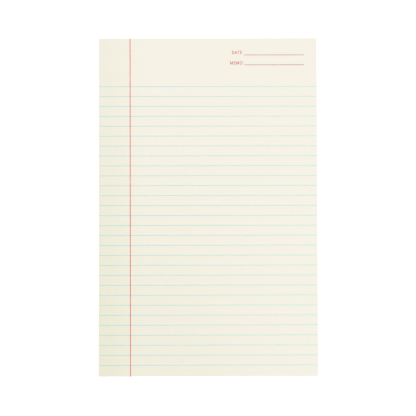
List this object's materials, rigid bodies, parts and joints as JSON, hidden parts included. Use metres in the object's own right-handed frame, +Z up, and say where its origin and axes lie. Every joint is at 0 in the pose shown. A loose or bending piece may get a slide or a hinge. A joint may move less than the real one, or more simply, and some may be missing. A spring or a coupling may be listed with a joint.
{
  "type": "notepad",
  "caption": "Flat gummed notepad for handwritten notes: ivory ruled leaves with a red margin line and short header lines, glued along the head to a chipboard back.",
  "frame": {"origin": "Middle of the underside of the pad, on the surface it lies on.", "axes": "+X runs to the right of the page, +Y runs to the glued head of the page, +Z points up out of the writing face."},
  "size_m": [0.1398, 0.2162, 0.0057],
  "materials": {
    "chipboard": "matte",
    "ivory_paper": "matte",
    "padding_gum": "satin",
    "blue_ink": "matte",
    "red_ink": "matte"
  },
  "bodies": {
    "root": {"backing_board": "chipboard", "sheet_block": "ivory_paper", "gum_binding": "padding_gum", "blue_rules": "blue_ink", "margin_line": "red_ink", "header_lines": "red_ink"}
  },
  "joints": []
}
